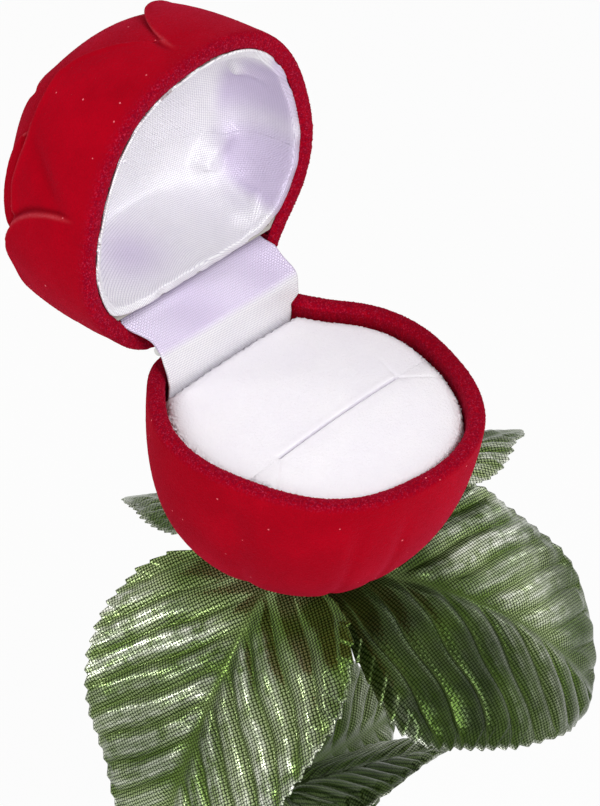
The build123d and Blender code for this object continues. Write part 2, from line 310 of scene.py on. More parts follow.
def petal_piece(name, node, body, rings, lip_start, **tints):
    """Flocked half of the head, from its rings and their painted highlight and shade; the lip is painted
    darker as shade, and the pile is rougher there.
    """
    rows, columns = rings.shape[:2]
    # painted shade: the lip and the top of the inner wall are darker
    rim = tints["rim"] = np.zeros((rows, columns))
    rim[lip_start:lip_start + lip_rows + 3] = smooth(np.arange(3, lip_rows + 6) / 8.0)[:, None]
    rings = ruffle(rings, pile_spread + rim_pile_spread * rim[..., None])
    # both ends are fanned shut
    start, last = rows * columns, (rows - 1) * columns
    faces = grid_quads(rows, columns, True)
    faces += [(start, (c + 1) % columns, c) for c in range(columns)]
    faces += [(start + 1, last + c, last + (c + 1) % columns) for c in range(columns)]
    points = np.vstack([rings.reshape(-1, 3), rings[0].mean(axis=0), rings[-1].mean(axis=0)])
    points = to_row(swing(points) if body == "lid" else points)
    values = {label: np.append(tint, (tint[0].mean(), tint[-1].mean())) for label, tint in tints.items()}
    stand_for(make_piece(name, points, faces, red_flock, values=values), node, body)


# Material helpers

def new_material(name):
    material = bpy.data.materials.new(name)
    material.use_nodes = True
    return material, material.node_tree


def set_shader(tree, values):
    """Gives the shader's sockets their constants and links."""
    shader = tree.nodes["Principled BSDF"]
    for name, value in values.items():
        if isinstance(value, (float, tuple)):
            shader.inputs[name].default_value = value
        else:
            tree.links.new(value, shader.inputs[name])


def add(tree, kind, links=(), **settings):
    """New node with the values of its inputs and properties, and (output, input) links."""
    node = tree.nodes.new(kind)
    for key, value in settings.items():
        key = key.replace("_", " ") if key.replace("_", " ") in node.inputs else key
        if key in node.inputs:
            node.inputs[key].default_value = value
        else:
            setattr(node, key, value)
    for value, socket in links:
        tree.links.new(value, node.inputs[socket])
    return node


def place(tree):
    """Texture coordinates in the row frame, in metres."""
    return add(tree, "ShaderNodeTexCoord").outputs["Object"]


def noise(tree, scale, detail=2.0, roughness=0.5, coords=None):
    links = [(coords or place(tree), "Vector")]
    return add(tree, "ShaderNodeTexNoise", links, Scale=scale, Detail=detail, Roughness=roughness).outputs[0]


def drawn(tree, scale, lines):
    """Fine noise, drawn out along the axes where lines is small."""
    mapping = add(tree, "ShaderNodeMapping", [(place(tree), "Vector")], Scale=lines)
    return noise(tree, scale, 3, 0.6, mapping.outputs[0])


def maths(tree, operation, *values, clamp=False):
    node = add(tree, "ShaderNodeMath", operation=operation, use_clamp=clamp)
    for index, value in enumerate(values):
        if isinstance(value, (int, float)):
            node.inputs[index].default_value = value
        else:
            tree.links.new(value, node.inputs[index])
    return node.outputs[0]


def product(tree, first, second):
    return maths(tree, "MULTIPLY", first, second)


def spread(tree, value, low, high, to_low=0.0, to_high=1.0):
    """Value from low to high, stretched to to_low and to_high and clamped."""
    return add(tree, "ShaderNodeMapRange", [(value, "Value")],
               From_Min=low, From_Max=high, To_Min=to_low, To_Max=to_high).outputs[0]


def mix(tree, share, first, second):
    node = add(tree, "ShaderNodeMix", data_type="RGBA")
    factor = [s for s in node.inputs if s.name == "Factor" and s.type == "VALUE"][0]
    tree.links.new(share, factor)
    for socket, value in zip([s for s in node.inputs if s.type == "RGBA"], (first, second)):
        if isinstance(value, tuple):
            socket.default_value = (*value, 1.0)
        else:
            tree.links.new(value, socket)
    return [s for s in node.outputs if s.type == "RGBA"][0]


def bump(tree, height, distance, strength=1.0):
    return add(tree, "ShaderNodeBump", [(height, "Height")], Strength=strength, Distance=distance).outputs[0]


def attribute(tree, name):
    return add(tree, "ShaderNodeAttribute", attribute_name=name).outputs["Fac"]


def specks(tree, cell, size, share):
    """Mask of small dots in a share of the cells of a cell pattern, sizes in metres."""
    node = add(tree, "ShaderNodeTexVoronoi", [(place(tree), "Vector")], Scale=1 / cell, Randomness=1.0)
    parts = add(tree, "ShaderNodeSeparateColor", [(node.outputs["Color"], 0)])
    dot = maths(tree, "LESS_THAN", node.outputs["Distance"], size / cell)
    return product(tree, dot, maths(tree, "LESS_THAN", parts.outputs[0], share))


def flock_material(name, bright, deep, edge, lint_and_highlight, glow, lint_share, sheen):
    """Short dense flock: cloudy pile, fine grain, a few light threads of stray fibre, and painted colour: a
    darker rim and folds as shade, and lighter edges as highlight.
    """
    material, tree = new_material(name)
    cloud = noise(tree, 130, 4, 0.6)
    grain = noise(tree, 4200, 2, 0.6)
    fine = noise(tree, 2300, 3, 0.7)
    colour = mix(tree, spread(tree, cloud, 0.35, 0.68), deep, bright)
    colour = mix(tree, spread(tree, grain, 0.25, 0.8, 0.0, 0.45), colour, deep)
    # attribute, how it shows through the pile, and the colour that it brings; the first rim row and fold are
    # painted shade, the second rim row pink fibre tips, the last a painted highlight
    for label, pattern, tint in (
        ("rim", spread(tree, fine, 0.36, 0.60, 0.15, 1.0), edge),
        ("rim", spread(tree, grain, 0.54, 0.70, 0.0, 0.30), glow),
        ("fold", 0.75, tuple(0.45 * part for part in deep)),
        ("ridge", spread(tree, grain, 0.3, 0.7, 0.08, 0.32), lint_and_highlight),
    ):
        colour = mix(tree, product(tree, attribute(tree, label), pattern), colour, tint)
    colour = mix(tree, specks(tree, 0.0022, 0.00014, lint_share), colour, lint_and_highlight)
    set_shader(tree, {
        "Base Color": colour, "Roughness": 0.92, "Specular IOR Level": 0.02, "Sheen Weight": sheen,
        "Sheen Roughness": 0.40, "Sheen Tint": (*glow, 1.0),
        "Normal": bump(tree, maths(tree, "ADD", grain, fine), 0.00015, 0.8),
    })
    return material


def weave(tree, pitch_u, pitch_v, turn):
    """Threads that pass over each other on the cloth's flat map: their height from 0 to 1, and the gaps."""
    flat = add(tree, "ShaderNodeUVMap", uv_map="cloth")
    mapping = add(tree, "ShaderNodeMapping", [(flat.outputs[0], "Vector")], Rotation=(0, 0, turn))
    parts = add(tree, "ShaderNodeSeparateXYZ", [(mapping.outputs[0], 0)])
    waves = [maths(tree, "SINE", product(tree, parts.outputs[axis], math.pi / pitch))
             for axis, pitch in enumerate((pitch_u, pitch_v))]
    over_u, over_v = [maths(tree, "ABSOLUTE", wave) for wave in waves]
    sign = product(tree, *[maths(tree, "SIGN", wave) for wave in waves])
    chosen = maths(tree, "MULTIPLY_ADD", sign, 0.5, 0.5)
    rest = product(tree, over_v, maths(tree, "SUBTRACT", 1.0, chosen))
    return maths(tree, "ADD", product(tree, over_u, chosen), rest), product(tree, over_u, over_v)


def satin_material(white, bright, lilac, gap):
    """White satin: a fine weave of shiny threads with lilac gaps between them."""
    material, tree = new_material("satin_weave")
    threads, gaps = weave(tree, 0.30, 0.36, 0.06)
    colour = mix(tree, spread(tree, noise(tree, 160, 3), 0.3, 0.7), white, bright)
    # the tone attribute paints lilac shade
    colour = mix(tree, attribute(tree, "tone"), colour, lilac)
    colour = mix(tree, spread(tree, gaps, 0.0, 0.45, 0.60, 0.0), colour, gap)
    set_shader(tree, {
        "Base Color": colour, "Metallic": 0.2, "Roughness": 0.36, "Specular IOR Level": 0.7,
        "Normal": bump(tree, threads, 0.00008, 0.7),
    })
    return material


def leaf_material(deep, green, thread, pale_thread, gap, vein, shine):
    """Glossy woven leaf cloth, dark between the threads, with painted highlights on the threads and on the
    crests.
    """
    material, tree = new_material("woven_leaf")
    threads, gaps = weave(tree, 0.50, 0.54, 0.7)
    colour = mix(tree, spread(tree, noise(tree, 90, 4, 0.6), 0.36, 0.62), deep, green)
    pale = mix(tree, spread(tree, noise(tree, 75, 2), 0.40, 0.60), thread, pale_thread)
    shown = product(tree, spread(tree, threads, 0.50, 0.92, 0.0, 0.90), attribute(tree, "pale"))
    colour = mix(tree, shown, colour, pale)
    colour = mix(tree, spread(tree, gaps, 0.0, 0.4, 0.90, 0.0), colour, gap)
    colour = mix(tree, product(tree, attribute(tree, "vein"), 0.25), colour, vein)
    # painted highlight in the shine colour on the crests
    lit = product(tree, attribute(tree, "crest"), spread(tree, threads, 0.32, 0.80, 0.0, 1.0))
    lit = product(tree, lit, spread(tree, noise(tree, 420, 3, 0.6), 0.35, 0.60, 0.15, 1.0))
    set_shader(tree, {
        "Base Color": mix(tree, lit, colour, shine), "Metallic": 0.55, "Roughness": 0.22,
        "Specular IOR Level": 0.10, "Normal": bump(tree, threads, 0.000020, 0.8),
    })
    return material


def metal_material(name, colour, dark, roughness, lines):
    """Plated or drawn metal with fine lines along one axis and slight stains."""
    material, tree = new_material(name)
    streak = drawn(tree, 900, lines)
    set_shader(tree, {
        "Base Color": mix(tree, spread(tree, noise(tree, 350, 3), 0.35, 0.75), colour, dark),
        "Roughness": spread(tree, streak, 0.2, 0.8, roughness - 0.08, roughness + 0.12),
        "Metallic": 1.0, "Normal": bump(tree, streak, 0.00001, 0.5),
    })
    return material


def moulded_material(name, colour, shade, roughness, lines=(1.0, 1.0, 1.0)):
    """Moulded or coated plastic, or card, with a fine grain drawn out along the given directions."""
    material, tree = new_material(name)
    grain = drawn(tree, 1300, lines)
    tone = mix(tree, spread(tree, noise(tree, 120, 3), 0.3, 0.7), shade, colour)
    set_shader(tree, {
        "Base Color": mix(tree, spread(tree, grain, 0.3, 0.75, 0.0, 0.35), tone, shade),
        "Roughness": spread(tree, grain, 0.2, 0.8, roughness - 0.06, roughness + 0.1),
        "Normal": bump(tree, grain, 0.00003, 0.6),
    })
    return material


# edge is the rim's painted shade colour, and the lint colour also paints the petals' edge highlight
red_flock = flock_material(
    "red_flock", bright=(0.46, 0.0005, 0.010), deep=(0.37, 0.0004, 0.008), edge=(0.23, 0.0010, 0.014),
    lint_and_highlight=(0.84, 0.18, 0.22), glow=(0.95, 0.08, 0.20), lint_share=0.45, sheen=0.28)
white_flock = flock_material(
    "white_flock", bright=(0.985, 0.96, 0.995), deep=(0.95, 0.92, 0.975), edge=(0.74, 0.70, 0.80),
    lint_and_highlight=(0.62, 0.60, 0.66), glow=(1.0, 0.96, 1.0), lint_share=0.02, sheen=0.2)
satin = satin_material(
    white=(0.95, 0.94, 0.97), bright=(0.98, 0.97, 0.985), lilac=(0.68, 0.58, 0.80), gap=(0.36, 0.31, 0.45))
leaf_cloth = leaf_material(
    deep=(0.010, 0.022, 0.002), green=(0.034, 0.066, 0.006), thread=(0.15, 0.24, 0.05),
    pale_thread=(0.42, 0.52, 0.24), gap=(0.004, 0.008, 0.001), vein=(0.10, 0.15, 0.04),
    shine=(0.95, 0.97, 0.86))
hinge_metal = metal_material("hinge_metal", (0.72, 0.71, 0.70), (0.50, 0.49, 0.48), 0.30, (0.1, 1.0, 1.0))
spring_steel = metal_material("spring_steel", (0.42, 0.43, 0.46), (0.26, 0.27, 0.30), 0.34, (1.0, 0.1, 0.1))
wire_steel = metal_material("wire_steel", (0.46, 0.45, 0.44), (0.30, 0.29, 0.28), 0.36, (1.0, 1.0, 0.05))
grey_card = moulded_material("grey_card", (0.52, 0.50, 0.46), (0.42, 0.40, 0.37), 0.85)
stem_green = moulded_material(
    "stem_green", (0.075, 0.17, 0.035), (0.045, 0.11, 0.022), 0.45, (1.0, 1.0, 0.06))
rib_green = moulded_material("rib_green", (0.22, 0.34, 0.09), (0.15, 0.25, 0.06), 0.42)


# Camera, solved on the photograph: direction, roll, distance and offset of the rim's centre
view_height = 806
camera_azimuth, camera_elevation, camera_roll = -52.44, 42.32, 7.42
camera_distance, camera_x, camera_y = 387.39, 1.64, 2.01
focal_pixels = 2598.89
sensor_size = 36.0


def add_camera():
    a, e, roll = (math.radians(v) for v in (camera_azimuth, camera_elevation, camera_roll))
    turn = Matrix.Rotation(a, 4, "Z") @ Matrix.Rotation(math.pi / 2 - e, 4, "X")
    turn = turn @ Matrix.Rotation(roll, 4, "Z")
    offset = Vector((-camera_x, -camera_y, camera_distance)) * MM
    data = bpy.data.cameras.new("camera")
    data.sensor_width = sensor_size
    data.lens = focal_pixels / view_height * sensor_size
    data.clip_start = 0.01
    camera = bpy.data.objects.new("camera", data)
    camera.matrix_world = Matrix.Translation((0, 0, rim_z * MM)) @ turn @ Matrix.Translation(offset)
    bpy.context.scene.collection.objects.link(camera)
    bpy.context.scene.camera = camera


# Lamps: name, place, target, width in metres and power
lamps = [
    ("top", (-0.08, -0.32, 0.64), (0, 0, 0.22), 0.20, 1.46),
    ("front", (-0.45, -0.60, 0.38), (0, 0, 0.2), 0.35, 0.5),
    ("left", (-0.56, 0.05, 0.40), (0, 0, 0.2), 0.10, 0.40),
    ("left_back", (-0.42, 0.36, 0.46), (0, 0, 0.2), 0.10, 0.55),
    ("left_front", (-0.48, -0.25, 0.30), (0, 0, 0.2), 0.08, 0.25),
    ("right", (0.56, -0.05, 0.34), (0, 0, 0.2), 0.10, 0.10),
    ("right_front", (0.42, -0.38, 0.36), (0, 0, 0.2), 0.08, 0.05),
    ("low", (-0.05, -0.34, 0.10), (0, 0.03, 0.25), 0.10, 0.18),
]
world_strength = 0.46
floor_reach = 12000.0
floor_drop = 0.05
floor_glow = 0.95


def add_lamp(name, position, target, size, power):
    data = bpy.data.lights.new(name, "AREA")
    data.shape = "DISK"
    data.size = size
    data.energy = power
    light = bpy.data.objects.new(name, data)
    light.location = position
    light.rotation_euler = (Vector(target) - Vector(position)).to_track_quat("-Z", "Y").to_euler()
    light.visible_camera = False
    bpy.context.scene.collection.objects.link(light)


def show_white(tree, lit, white, amount, output):
    """Gives the output a lit shader, and a white one for rays from the camera, a gloss or a glass."""
    path = add(tree, "ShaderNodeLightPath")
    total = maths(tree, "ADD", path.outputs["Is Camera Ray"], path.outputs["Is Glossy Ray"])
    share = maths(tree, "ADD", total, path.outputs["Is Transmission Ray"], clamp=True)
    if amount < 1:
        share = product(tree, share, amount)
    blend = add(tree, "ShaderNodeMixShader", [(share, 0), (lit.outputs[0], 1), (white.outputs[0], 2)])
    tree.links.new(blend.outputs[0], tree.nodes[output].inputs["Surface"])


def add_world():
    """White light from all round, and a white background where the camera sees past the object."""
    world = bpy.data.worlds.new("studio")
    world.use_nodes = True
    bpy.context.scene.world = world
    tree = world.node_tree
    soft = tree.nodes["Background"]
    soft.inputs["Color"].default_value = (1.0, 0.985, 0.98, 1.0)
    soft.inputs["Strength"].default_value = world_strength
    white = add(tree, "ShaderNodeBackground", Strength=1.0, Color=(1.0, 1.0, 1.0, 1.0))
    show_white(tree, soft, white, 1, "World Output")


def add_floor():
    """Pale floor that keeps a faint shadow."""
    corners = np.array([[x, y, -floor_drop / floor_reach] for x, y in ((-1, -1), (1, -1), (1, 1), (-1, 1))])
    material, tree = new_material("floor_white")
    tone = mix(tree, noise(tree, 40, 2), (0.66, 0.66, 0.66), (0.70, 0.70, 0.70))
    set_shader(tree, {"Base Color": tone, "Roughness": 0.9})
    light = add(tree, "ShaderNodeEmission", Strength=1.0)
    show_white(tree, tree.nodes["Principled BSDF"], light, floor_glow, "Material Output")
    make_piece("floor", corners * floor_reach, [(0, 1, 2, 3)], material)


add_camera()
add_world()
for lamp in lamps:
    add_lamp(*lamp)
add_floor()


# Lid: petals laid over a bud, each layer bounded by one slanted plane for each petal

petal_step = 1.1
# Layers over the bud: number of petals, angle, reach and slope of their planes, height and inset of
# the dome that they lie on, and whether they also form the band along the rim
petal_layers = [
    (3, 250.0, 6.2, 3.0, lid_height - petal_step / 2, petal_step, False),
    (5, 196.0, 13.6, 2.0, lid_height, 0.0, True),
]
# Outer petals, each laid over the ones before it: angle, half width in degrees, height, squareness
# of the outline, how far its low and high side stand out over the petal beside them, and how deep
# the petal lies under the others. Height 0 stands for the large front petal's own top edge.
outer_petals = [
    (196.0, 36.0, 21.5, 2.4, 0.0, 0.0, 0.80),
    (222.0, 48.0, 0.0, 1.0, 0.0, 0.0, 0.0),
    (88.0, 40.0, 18.5, 2.5, 0.0, 0.0, 0.0),
    (304.0, 38.2, 19.0, 2.5, 0.40, 0.0, 0.0),
    (160.0, 36.0, 19.0, 2.5, 0.45, 0.42, 0.0),
    (16.0, 39.0, 18.5, 2.5, 0.50, 0.50, 0.0),
]
# Top edge of the large front petal: degrees from its middle and height
front_petal_top = [
    (-48, 2.0), (-46, 11.0), (-40, 16.5), (-25, 18.0), (-11, 17.2), (-1, 17.4), (9.5, 17.6),
    (18, 17.8), (26.5, 16.2), (37, 12.6), (41.5, 10.4), (46, 8.0), (48, 3.0),
]
front_petal_slant = 0.85
outside_all = -20.0
petal_flare = 0.9
petal_fullness = 3.7
bud_drop = 1.6
bud_inset = 1.9
rim_band = 7.0
# Soft valley in the front petal: middle, half sizes, and its drift in degrees over a rise
valley_angle, valley_z = 206.0, 11.3
valley_width, valley_height = 5.0, 4.5
valley_rise, valley_drift = 3.7, 7.0
valley_depth = 0.75
crown_rows, lid_side_rows, cavity_rows = 26, 230, 30
crown_swell = 0.9

front_at = np.linspace(-60, 60, 481)
front_line = np.interp(front_at, *zip(*front_petal_top), left=outside_all, right=outside_all)
front_line = np.convolve(np.pad(front_line, 8, mode="edge"), np.ones(17) / 17, mode="valid")


def petal_depth(points, count, middle, reach, slope):
    """How far each point lies inside the nearest petal of a layer, and inside the next one."""
    depths = []
    for index in range(count):
        a = math.radians(middle + 360 / count * index)
        along = points[..., 0] * math.cos(a) + points[..., 1] * math.sin(a)
        depths.append(along - reach - points[..., 2] * math.tan(math.radians(slope)))
    return np.sort(depths, axis=0)[:-3:-1]


def outer_inside(away, height, half, top, square):
    """How far inside an outer petal's outline each point lies, in about millimetres."""
    if top:
        size = (np.abs(away) / half) ** square + (height / top) ** square
        return (1 - size ** (1 / square)) * top
    return (np.interp(away, front_at, front_line) - height) * front_petal_slant


def outer_relief(angle, height):
    """Depth inside the outer petals, and their relief, painted edge highlight and painted edge shade."""
    depth = np.full(np.broadcast(angle, height).shape, -99.0)
    relief, ridge, shade = np.zeros((3,) + depth.shape)
    low = smooth((height - 3.0) / 4.0)
    topmost = smooth((height - 8.0) / 5.0)
    for middle, half, top, square, low_lift, high_lift, sink in outer_petals:
        away = turned_from(middle, angle)
        inside = outer_inside(away, height, half, top, square)
        lift = np.where(away < 0, low_lift, high_lift) * smooth(np.abs(away) / 12)
        share = smooth((inside + 0.25) / 0.9)
        # a groove runs along the outside of the edge, and a rolled hem along its inside
        relief -= (0.14 + 0.30 * topmost) * bell(inside + 0.55, 0.5) * low
        own = lift * np.exp(-np.maximum(inside, 0) / 6.5) * low - sink * low
        own = own + 0.22 * topmost * bell(inside - 0.8, 0.7)
        relief = relief * (1 - share) + own * share
        # painted highlight just inside the edge, and painted shade just outside it
        shows = np.maximum(lift > 0.05, topmost)
        ridge = ridge * (1 - share) + bell(inside - 0.40, 0.30) * low * shows
        shade = shade * (1 - share) + bell(inside + 0.35, 0.45) * low * shows * (inside < 0.1)
        depth = np.maximum(depth, inside)
    return depth, relief, ridge, shade


def lid_outside(angle, turn, inward):
    """Outer surface of the lid, its painted edge highlight and its painted shade; inward shrinks the crown's
    rings.
    """
    surface = cup(angle, turn, lid_height - bud_drop, lid_fullness, crown_radius, bud_inset)
    relief, ridge, crown_shade = np.zeros((3,) + surface.shape[:-1])
    a = np.radians(angle)
    bent = 0.5 * np.sin(a * 3 + 0.5 * surface[..., 2]) + 0.3 * np.sin(a * 7 + 1.0)
    for *planes, height, inset, at_rim in petal_layers:
        layer = cup(angle, turn, height, lid_fullness, crown_radius, inset)
        depth, second = petal_depth(layer, *planes) + bent
        share = smooth((depth + 0.3) / 1.3)
        if at_rim:
            share = np.maximum(share, smooth((rim_band + 0.5 - surface[..., 2]) / 1.5))
        surface = surface + (layer - surface) * share[..., None]
        # a raised edge, a hollow inside it, and a crease where two petals meet
        own = 0.20 * bell(depth - 1.1, 0.9) - 0.20 * bell(depth - 4.5, 3.0)
        own = own - 0.25 * bell(depth - second, 1.0) * smooth(depth)
        relief = relief * (1 - share) + own * share
        # painted highlight just inside each petal's edge, and painted shade at the edge
        ridge = ridge * (1 - share) + bell(depth - 0.7, 0.5) * 0.25
        crown_shade = crown_shade * (1 - share) + bell(depth + 0.1, 0.5) * 0.8
    outer = cup(angle, turn, lid_height + petal_flare, petal_fullness, crown_radius)
    # edge is the outer petals' painted highlight, shade their painted shade
    depth, own, edge, shade = outer_relief(angle, outer[..., 2])
    share = smooth((depth + 0.3) / 1.1)
    shade = np.maximum(shade, crown_shade * (1 - share))
    surface = surface + (outer - surface) * share[..., None]
    relief = relief * (1 - share) + own * share
    ridge = np.clip(ridge * (1 - share) + edge, 0, 1)
    above = surface[..., 2] - valley_z
    across = turned_from(valley_angle, angle) - above / valley_rise * valley_drift
    valley = bell(across, valley_width) * bell(above, valley_height)
    relief = relief - valley_depth * valley
    # painted shade in the valley
    shade = np.maximum(shade, 0.30 * bell(across + 2.0, 4.5) * valley)
    outward = polar(angle, 1 - turn, turn)
    outward /= np.linalg.norm(outward, axis=-1, keepdims=True)
    surface = surface + outward * relief[..., None]
    surface[..., :2] *= inward[..., None]
    surface[..., 2] += crown_swell * (1 - inward ** 2)
    return surface, ridge, shade


def lid_rings():
    """Rings of the lid from the crown to the cavity's end, where the lip starts, and its painted highlight
    and shade.
    """
    first = turn_at(half_gap + lip_height, lid_height, lid_fullness, crown_radius)
    turns, inward = dome_rows(crown_rows, lid_side_rows, 0.992, first)
    outside, *tints = lid_outside(rim_angle, turns, inward + 0 * rim_angle)
    lip = lip_rings(outside[-1], at_angle(rim_angle[0]), fuzzy=True)
    cavity = cup(rim_angle, np.linspace(first, 1, cavity_rows)[:, None], lid_cavity_depth,
                 lid_fullness, crown_radius + wall, wall, lid_crown_wall)
    rings = free_hinge(np.concatenate([outside, lip, cavity]))
    return rings, len(outside), *[np.pad(tint, ((0, len(rings) - len(tint)), (0, 0))) for tint in tints]


lid_grid, lid_lip, lid_ridge, lid_shade = lid_rings()
# the fold attribute carries the lid's painted shade
petal_piece("lid_petals", "lid_shell", "lid", lid_grid, lid_lip, ridge=lid_ridge, fold=lid_shade)


# Base: one moulded cup with shallow creases between its petals, each with its angle, depth and half width

base_creases = [
    (198.0, 0.45, 5.0), (240.0, 0.42, 3.0), (258.0, 0.32, 3.0), (322.0, 0.30, 5.0), (52.0, 0.4, 5.0),
]
base_side_rows, pocket_rows = 170, 24
# The base is painted darker all over as shade, and deeper on the right: angle, half width, depth and the
# rest's
painted_shade_angle, painted_shade_width, painted_shade_depth, painted_shade_all_over = 348, 34, 0.45, 0.12
# painted shade on the inner wall below the lip
pocket_shade = 0.7


def base_rings():
    """Rings of the base from the stem's bore to the stem's socket, and where the lip starts."""
    outward = at_angle(rim_angle)
    first = turn_at(half_gap + lip_height, bowl_depth, bowl_fullness, seat_radius)
    turns = np.linspace(1, first, base_side_rows)[:, None]
    outside = cup(rim_angle, turns, bowl_depth, bowl_fullness, seat_radius)
    fade = smooth(turns * 6) * smooth((1 - turns) * 2.2)
    for middle, depth, half in base_creases:
        outside[..., :2] -= outward * (depth * bell(turned_from(middle, rim_angle), half) * fade)[..., None]
    lip = lip_rings(outside[-1], outward[0])
    floor_depth = bowl_depth - floor_thickness
    pocket = cup(rim_angle, np.linspace(first, 1, pocket_rows)[:, None], floor_depth,
                 bowl_fullness, seat_radius + wall, wall)
    socket, bore = [[polar(rim_angle[0], radius, depth) for depth in depths] for radius, depths in (
        (socket_radius, (floor_depth, floor_depth - socket_depth)),
        (bore_radius, (bowl_depth - socket_depth, bowl_depth)))]
    rings = free_hinge(np.concatenate([bore, outside, lip, pocket, socket]))
    rings[..., 2] *= -1
    return rings[:, ::-1], len(bore) + len(outside)


base_grid, base_lip = base_rings()
base_turn = np.degrees(np.arctan2(base_grid[..., 1], base_grid[..., 0])) % 360
# painted shade, darker on the right and on the inner wall, carried by the fold attribute
base_painted_shade = painted_shade_all_over + painted_shade_depth * bell(turned_from(painted_shade_angle, base_turn), painted_shade_width)
base_painted_shade[base_lip + lip_rows:] = pocket_shade
petal_piece("base_petals", "base_shell", "base", base_grid, base_lip, fold=base_painted_shade)


# Ring pad: crowned foam under white flock, with a slit and shallow creases at its ends

pad_clearance = 0.25
pad_depth = 15.0
pad_back_y = 15.0
pad_top = 1.0
pad_crown = 1.5
pad_round = 2.2
pad_spread, pad_edge_spread = 0.010, 0.10
pad_columns, pad_rows = 301, 260
slit_length = 26.0
slit_y = -6.0
slit_depth, slit_width = 1.3, 0.17
crease_depth, crease_width = 0.16, 0.30
slit_creases = [((13.0, -6.0), (19.5, -10.8)), ((-13.0, -6.0), (-20.5, -11.5)), ((13.0, -6.0), (14.2, -1.5))]
far_out = 1e3


def flat_back(angle, back):
    """Reach of a straight edge across the back, at an angle in degrees."""
    s = np.sin(np.radians(angle))
    return np.where(s > 0.05, back / np.maximum(s, 0.05), far_out)


def pad_grid():
    """Places of the pad's points, closer together near the slit and the edge, and its outline."""
    angle = np.linspace(0, 360, 1441)
    # the pad lies inside the base's wall, and is straight along the band
    reach = np.minimum(outline(angle) - wall - pad_clearance, flat_back(angle, pad_back_y))
    ring = at_angle(angle) * reach[:, None]
    left, right = ring[:, 0].min() + 0.02, ring[:, 0].max() - 0.02
    share = (1 - np.cos(np.linspace(0, math.pi, pad_columns))) / 2
    x = left + (right - left) * (0.35 * share + 0.65 * np.linspace(0, 1, pad_columns))
    upper, lower = [np.interp(x, *side[np.argsort(side[:, 0])].T) for side in (ring[:721], ring[720:])]
    middle = np.clip(slit_y, lower, upper)
    ease = np.linspace(0, 1, pad_rows // 2)[:, None]
    front = lower + (middle - lower) * (1 - (1 - ease) ** 1.9)
    back = middle + (upper - middle) * (ease ** 1.9)[1:]
    y = np.concatenate([front, back])
    return np.stack([x + 0 * y, y], axis=-1), ring


def pad_piece():
    places, ring = pad_grid()
    x, y = places[..., 0], places[..., 1]
    edge = np.full(x.shape, far_out)
    for start, end in zip(ring[::6], ring[6::6]):
        edge = np.minimum(edge, segment_distance(places, start, end)[0])
    z = -pad_top - pad_crown * (np.hypot(x, y + 2) / 24) ** 2 + 0.25
    rounding = np.clip(edge, 0, pad_round)
    z -= pad_round - np.sqrt(pad_round ** 2 - (pad_round - rounding) ** 2)
    along = smooth((slit_length / 2 + 0.4 - np.abs(x)) / 0.8)
    gap = np.abs(y - slit_y)
    z += along * (0.10 * bell(gap - 0.7, 0.6) - slit_depth * bell(gap, slit_width))
    # the foam in front of the slit swells a little
    z += 0.20 * smooth((slit_y - y) / 2.0) * bell(slit_y - 3.2 - y, 4.0)
    for start, end in slit_creases:
        far, share = segment_distance(places, start, end)
        z -= crease_depth * bell(far, crease_width) * (1 - 0.6 * share)
    top = np.stack([x, y, z], axis=-1)
    bottom = top.copy()
    bottom[..., 2] = -pad_depth
    points = np.concatenate([top.reshape(-1, 3), bottom.reshape(-1, 3)])
    count = x.size
    corners = np.arange(count).reshape(x.shape)
    faces = grid_quads(*x.shape, False)
    faces += [[corner + count for corner in face[::-1]] for face in faces]
    sides = corners[0], corners[1:, -1], corners[-1, -2::-1], corners[-2:0:-1, 0]
    loop = np.concatenate(sides).tolist()
    for corner, after in zip(loop, loop[1:] + loop[:1]):
        faces.append((after, corner, corner + count, after + count))
    # the edge and the slit are painted a little darker as shade, and the pile is rougher along the edge
    rim, pile = np.zeros((2, len(points)))
    rim[:count] = np.clip(0.3 * bell(edge, 0.5) + 0.85 * along * bell(gap, 0.19), 0, 1).ravel()
    pile[:count] = pad_edge_spread * bell(edge, 1.1).ravel()
    points = ruffle(points, (pad_spread + pile)[:, None])
    return make_piece("pad_cushion", to_row(points), faces, white_flock, values={"rim": rim})


pad = pad_piece()
stand_for(pad, "ring_pad", body="base")


# Lid lining: satin over a card cup, with soft folds and a turned hem

former_thickness = 0.8
lining_thickness = 0.4
lining_clearance = 0.15
lining_recess = 0.9
lining_back_y = 12.7
lining_back_lean = 16.0
lining_depth = 18.5
lining_gap = 0.3
lining_corner = 5.0
lining_inset = wall + lining_clearance + former_thickness + lining_gap
lining_columns, lining_crown_rows, lining_side_rows, hem_rows = 721, 70, 150, 14
hem_waves = (5, 9, 14, 23, 31)
# Folds that press the satin inwards: start, end, half width and height
lining_folds = [
    ((2.0, -20.5, 2.0), (16.5, -13.5, 8.5), 1.1, 0.8),
    ((16.5, -13.5, 8.5), (17.6, -12.0, 2.0), 1.4, 0.8),
    ((-19.5, -3.0, 2.0), (-17.0, 8.5, 3.5), 1.2, 0.8),
    ((-17.0, 8.5, 3.5), (-11.0, 7.2, 12.0), 1.6, 0.6),
    ((14.4, -9.0, 14.5), (17.4, 0.6, 12.6), 2.2, 0.7),
    ((17.4, 0.6, 12.6), (13.8, 5.2, 13.6), 1.9, 0.8),
    ((13.8, 5.2, 13.6), (11.4, 9.3, 3.9), 1.9, 0.9),
    ((6.0, -12.0, 17.0), (10.0, 4.0, 16.5), 3.0, 0.4),
    ((13.0, 11.0, 1.6), (15.6, 8.0, 5.0), 1.0, 0.9),
]


def smooth_min(first, second, soft):
    share = np.clip(0.5 + 0.5 * (second - first) / soft, 0, 1)
    return second + (first - second) * share - soft * share * (1 - share)


